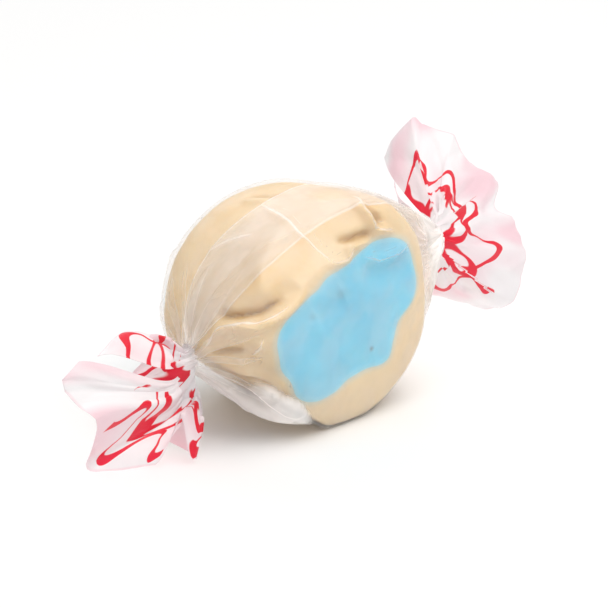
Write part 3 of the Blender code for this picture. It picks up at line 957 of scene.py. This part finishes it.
corners = np.arange(ROWS * COLUMNS).reshape(ROWS, COLUMNS)
quads = np.stack([corners[:-1, :-1], corners[1:, :-1], corners[1:, 1:], corners[:-1, 1:]], -1).reshape(-1, 4)
placed = sheet + SHIFT
film = BVHTree.FromPolygons([Vector(place) for place in placed.reshape(-1, 3)], quads.tolist())
FILM_CREASES = lay_on(FILM_CREASES, film)
crease_side, crease_share = crease_sides(placed * 1000, normals, FILM_CREASES)
push += line_push(placed, FILM_CREASES) * on_body
push += (line_push(placed, RIDGES) - FILM_DIPS * line_push(placed, PINCHES)) * on_body
sheet = sheet + normals * push[:, :, None] + SHIFT

# %% [markdown]
# ## Film on taffy
#
# The pushed sheet may now cut into the sweet or stand off it. So each point near the skin is moved to
# a small distance from it, which never falls under a least gap. On the front cut face the wax clings
# and pulls the film closer still, down to a straight edge at the lower left.

# %% The film kept off the taffy
LEAST_GAP, SOFT_GAP, NEAR_SKIN = 0.00008, 0.00022, 0.003
CLING, FACE_FROM, FACE_FADE, PANEL_EDGE = 0.88, 0.0060, 0.0012, (-0.0030, 0.80)
FLOOR_GAP = 0.00006
for r, c in zip(*np.nonzero(on_body & (lift < NEAR_SKIN))):
    point = Vector(sheet[r, c])
    touch, way, _, _ = skin.find_nearest(point)
    spare = (point - touch).dot(way) - LEAST_GAP - LAP_LIFT * float(lap[c])
    over_face = smooth((-point.y - FACE_FROM) / FACE_FADE)
    over_face *= smooth((point.z - PANEL_EDGE[0] + PANEL_EDGE[1] * point.x) / FACE_FADE)
    kept = 0.5 * (math.hypot(spare, SOFT_GAP) + spare) * (1 - CLING * float(over_face))
    sheet[r, c] = point + way * (kept - spare)
    lift[r, c] = kept
low, high = np.array(cad_box[0]), np.array(cad_box[1])
sheet = np.clip(sheet, low + (0, 0, FLOOR_GAP), high)

# %% [markdown]
# ## The sheet as a mesh
#
# It starts as the flat sheet that it really is: a grid of the right size, whose UV map is therefore
# the paper's own layout. Its points are then taken to where the rolled and twisted sheet has them,
# and a wall gives it thickness. A second UV map holds the print's layout. Real folds swallow parts of
# a print, and never squeeze it, so this layout is measured along the paper that shows.

# %% Layout of the print
PRINT_AT = {-1: (0.12, 0.69), 1: (0.24, 0.54, 0.80)}
PRINT_REACH, PRINT_SHIFT = 6.4, 3.0
LEAST_SPREAD, SQUEEZE_FADE = 0.16, 8  # how far a squeezed column may fold in before it loses its print
SMOOTHED_OVER, SMOOTHED_ROWS = 21, 13
kernel = np.ones(SMOOTHED_OVER) / SMOOTHED_OVER
padded = np.pad(sheet, ((0, 0), (SMOOTHED_OVER // 2, SMOOTHED_OVER // 2), (0, 0)), mode="edge")
calm = np.stack([[np.convolve(line[:, axis], kernel, "valid") for line in padded] for axis in range(3)], -1)
run = np.linalg.norm(np.diff(calm, axis=1), axis=2) * 1000
run = np.concatenate([np.zeros((ROWS, 1)), np.cumsum(run, axis=1)], axis=1)
for part in (slice(0, TAIL_ROWS), slice(ROWS - TAIL_ROWS, ROWS)):
    ahead = np.pad(run[part], ((SMOOTHED_ROWS // 2, SMOOTHED_ROWS // 2), (0, 0)), mode="edge")
    run[part] = np.mean([ahead[k:k + TAIL_ROWS] for k in range(SMOOTHED_ROWS)], axis=0)
squeezed = np.gradient(run, axis=1) * (COLUMNS - 1) / SHEET_MM
print_u, print_end = np.zeros((ROWS, COLUMNS)), np.zeros((ROWS, COLUMNS))
for r in range(ROWS):
    middles = np.interp(PRINT_AT[-1 if along[r] < BODY_LENGTH * 500 else 1], across, run[r])
    offsets = run[r][:, None] - middles
    nearest = np.argmin(np.abs(offsets), axis=1)
    print_u[r] = offsets[np.arange(COLUMNS), nearest] + PRINT_SHIFT * nearest
    past_print = np.abs(offsets).min(axis=1) - PRINT_REACH
    print_end[r] = np.maximum(past_print, (LEAST_SPREAD - squeezed[r]) * SQUEEZE_FADE)
print_v = np.repeat(past_neck[:, None], COLUMNS, axis=1)

# %% From flat grid to wrapped sheet
PAPER_WALL = 0.00005
deselect()
bpy.ops.mesh.primitive_grid_add(x_subdivisions=COLUMNS - 1, y_subdivisions=ROWS - 1, size=1.0, calc_uvs=True)
paper = bpy.context.object
paper.name = "waxed_paper_sheet"
flat = np.array([vert.co[:] for vert in paper.data.vertices])
column = np.rint((flat[:, 0] + 0.5) * (COLUMNS - 1)).astype(int)
row = np.rint((flat[:, 1] + 0.5) * (ROWS - 1)).astype(int)
paper.data.vertices.foreach_set("co", sheet[row, column].ravel())
corner_vertex = np.array([loop.vertex_index for loop in paper.data.loops])
paper.data.uv_layers.active.name = "layout"
paper.data.uv_layers.new(name="print")
for name, layout in (
    ("layout", np.stack([across_mm[column], along[row]], -1)),
    ("print", np.stack([print_u[row, column], print_v[row, column]], -1)),
):
    paper.data.uv_layers[name].data.foreach_set("uv", layout[corner_vertex].ravel())
for name, values in (
    ("lift", lift * 1000), ("tuck", tucks), ("crease_side", crease_side), ("crease_share", crease_share),
    ("print_end", print_end),
):
    paper.data.attributes.new(name, "FLOAT", "POINT").data.foreach_set("value", values[row, column])
bpy.ops.object.mode_set(mode="EDIT")
bpy.ops.mesh.select_all(action="SELECT")
bpy.ops.mesh.flip_normals()
bpy.ops.object.mode_set(mode="OBJECT")
wall = paper.modifiers.new("wall", "SOLIDIFY")
wall.thickness = PAPER_WALL
wall.offset = -1.0
bpy.ops.object.modifier_apply(modifier=wall.name)
bpy.ops.object.shade_smooth_by_angle(angle=math.radians(60))
print("paper triangles:", sum(len(face.vertices) - 2 for face in paper.data.polygons))

# %% [markdown]
# ## Waxed paper
#
# Wax makes the paper see-through where it touches the sweet and leaves it white where air gets
# behind it or where sheets lie together. So its opacity follows the distance from the sweet, and
# grows in every tuck, along every fold and at the sheet's own edges. The print is a red ribbon that
# runs in waves past a row of open ovals, with strokes that swell and thin out. Paper this thin
# passes on nearly all the light that falls on it, so the sheet casts no shadow.

# %% Red print
WAVE_LENGTH, WAVE_HEIGHT, PRINT_MIDDLE = 4.3, 1.7, 7.0
OVAL_EVERY, OVAL_OFFSET, OVAL_MIDDLE, OVAL_HALF, OVAL_LEAN = 6.0, 1.2, 4.0, (0.75, 1.8), 0.75


def swelling(tree, u, phase, thin, thick, length):
    """Half the width of a stroke, which changes along the sheet."""
    turn = calc(tree, "MULTIPLY_ADD", u, 2 * math.pi / length, phase)
    swing, middle = (thick - thin) / 2, (thick + thin) / 2
    return calc(tree, "MULTIPLY_ADD", calc(tree, "SINE", turn), swing, middle)


def red_print(tree):
    """1 on the print and 0 off it: a waving ribbon beside a row of open ovals."""
    spots = node(tree, "ShaderNodeUVMap", uv_map="print").outputs["UV"]
    drift = noise_node(tree, spots, 0.22, 1.0, output="Color")
    shift = vector_node(tree, "MULTIPLY_ADD", drift, (2.4, 2.4, 0.0), (-1.2, -1.2, 0.0)).outputs[0]
    shifted = vector_node(tree, "ADD", spots, shift).outputs[0]
    u, v, _ = node(tree, "ShaderNodeSeparateXYZ", {0: shifted}).outputs

    wave = calc(tree, "SINE", calc(tree, "MULTIPLY", u, 2 * math.pi / WAVE_LENGTH))
    ribbon = calc(tree, "MULTIPLY_ADD", wave, WAVE_HEIGHT, PRINT_MIDDLE)
    ribbon_off = calc(tree, "ABSOLUTE", calc(tree, "SUBTRACT", v, ribbon))
    ribbon_edge = calc(tree, "SUBTRACT", ribbon_off, swelling(tree, u, 0.9, 0.22, 0.62, WAVE_LENGTH))

    folded = calc(tree, "PINGPONG", calc(tree, "ADD", u, OVAL_OFFSET), OVAL_EVERY / 2)
    y = calc(tree, "SUBTRACT", v, OVAL_MIDDLE)
    x = calc(tree, "MULTIPLY_ADD", y, OVAL_LEAN, calc(tree, "SUBTRACT", folded, OVAL_EVERY / 4))
    across_oval, along_oval = (
        calc(tree, "POWER", calc(tree, "ABSOLUTE", calc(tree, "DIVIDE", off, half)), 2.0)
        for off, half in zip((x, y), OVAL_HALF)
    )
    level = calc(tree, "SQRT", calc(tree, "ADD", across_oval, along_oval))
    past_oval = calc(tree, "ABSOLUTE", calc(tree, "SUBTRACT", level, 1.0))
    oval_off = calc(tree, "MULTIPLY", past_oval, OVAL_HALF[0])
    oval_edge = calc(tree, "SUBTRACT", oval_off, swelling(tree, u, 2.6, 0.15, 0.42, 2.9))
    stroke_edge = calc(tree, "MINIMUM", ribbon_edge, oval_edge)
    nearest = calc(tree, "MAXIMUM", stroke_edge, measure(tree, "print_end"))
    return ramp(tree, nearest, -0.06, 0.05, 1.0, 0.0)


# %% Paper finish
PAPER_LOOKS = {
    "Roughness": 0.36, "IOR": 1.45, "Subsurface Weight": 0.5, "Subsurface Radius": (1.0, 0.95, 0.95),
    "Subsurface Scale": 0.0004,
}


def waxed_paper(name):
    material, tree, shader = finish(name, PAPER_LOOKS)
    layout_uv = node(tree, "ShaderNodeUVMap", uv_map="layout").outputs["UV"]
    u, v, _ = node(tree, "ShaderNodeSeparateXYZ", {0: layout_uv}).outputs
    lift_value, tuck_value = measure(tree, "lift"), measure(tree, "tuck")
    fibre = noise_node(tree, layout_uv, 1.6, 5.0, 0.6)
    cloud = noise_node(tree, layout_uv, 0.28, 2.0)

    past_right = calc(tree, "SUBTRACT", v, BODY_LENGTH * 1000)
    past = calc(tree, "MAXIMUM", calc(tree, "MULTIPLY", v, -1.0), past_right)
    in_tail = ramp(tree, past, -0.5, 3.0)
    gathered = ramp(tree, past, -10.0, -1.0)
    in_tuck = calc(tree, "MULTIPLY", ramp(tree, tuck_value, -0.07, 0.07), gathered)
    fold_line = ramp(tree, calc(tree, "ABSOLUTE", tuck_value), 0.03, 0.17, 1.0, 0.0)
    fold_line = calc(tree, "MULTIPLY", fold_line, gathered)
    rim_gap = calc(tree, "MINIMUM", u, calc(tree, "SUBTRACT", SHEET_MM, u))
    sheet_rim = ramp(tree, rim_gap, 0.08, 0.30, 1.0, 0.0)

    crease_line = ramp(tree, calc(tree, "ABSOLUTE", measure(tree, "crease_side")), 0.04, 0.17, 1.0, 0.0)
    crease_line = calc(tree, "MULTIPLY", crease_line, measure(tree, "crease_share"))
    from_left = calc(tree, "SUBTRACT", v, float(along[0]))
    from_right = calc(tree, "SUBTRACT", float(along[-1]), v)
    tail_rim = ramp(tree, calc(tree, "MINIMUM", from_left, from_right), 0.06, 0.34, 1.0, 0.0)
    in_lap = ramp(tree, rim_gap, LAP_MM - 0.5, LAP_MM, 1.0, 0.0)

    opacity = ramp(tree, lift_value, 0.7, 2.0, 0.10, 0.72)
    for place, added in (
        (in_lap, 0.09), (crease_line, 0.34), (in_tuck, 0.09), (fold_line, 0.13),
        (sheet_rim, 0.24), (tail_rim, 0.18), (in_tail, 0.31),
    ):
        opacity = calc(tree, "MULTIPLY_ADD", place, added, opacity)
    opacity = calc(tree, "ADD", opacity, ramp(tree, cloud, 0.35, 0.68, -0.02, 0.05))

    ink = red_print(tree)
    blush = noise_node(tree, layout_uv, 0.13, 1.0, 0.4)
    outwards = ramp(tree, past, 2.5, 10.0, 0.25, 1.0)
    rosy = calc(tree, "MULTIPLY", ramp(tree, blush, 0.38, 0.68), outwards)
    rosy = calc(tree, "MAXIMUM", rosy, calc(tree, "MULTIPLY", tail_rim, 0.6))
    white = blend(tree, rosy, (0.87, 0.835, 0.85, 1), (0.86, 0.55, 0.61, 1))
    clinging = blend(tree, ramp(tree, lift_value, 0.7, 2.0), (0.91, 0.85, 0.82, 1), (0.98, 0.93, 0.91, 1))
    white = blend(tree, in_tail, clinging, white)
    colour = blend(tree, ink, white, (0.72, 0.004, 0.016, 1))
    tree.links.new(colour, shader.inputs["Base Color"])
    opacity = calc(tree, "MAXIMUM", opacity, calc(tree, "MULTIPLY", ink, 0.95))
    tree.links.new(calc(tree, "MINIMUM", opacity, 0.95), shader.inputs["Alpha"])

    relief = node(tree, "ShaderNodeBump", {"Strength": 0.30, "Distance": 0.00010, "Height": fibre})
    tree.links.new(relief.outputs["Normal"], shader.inputs["Normal"])
    return material


paper.data.materials.clear()
paper.data.materials.append(waxed_paper("waxed_paper"))
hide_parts("paper_wrap")
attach(paper, "root")
paper.visible_shadow = False
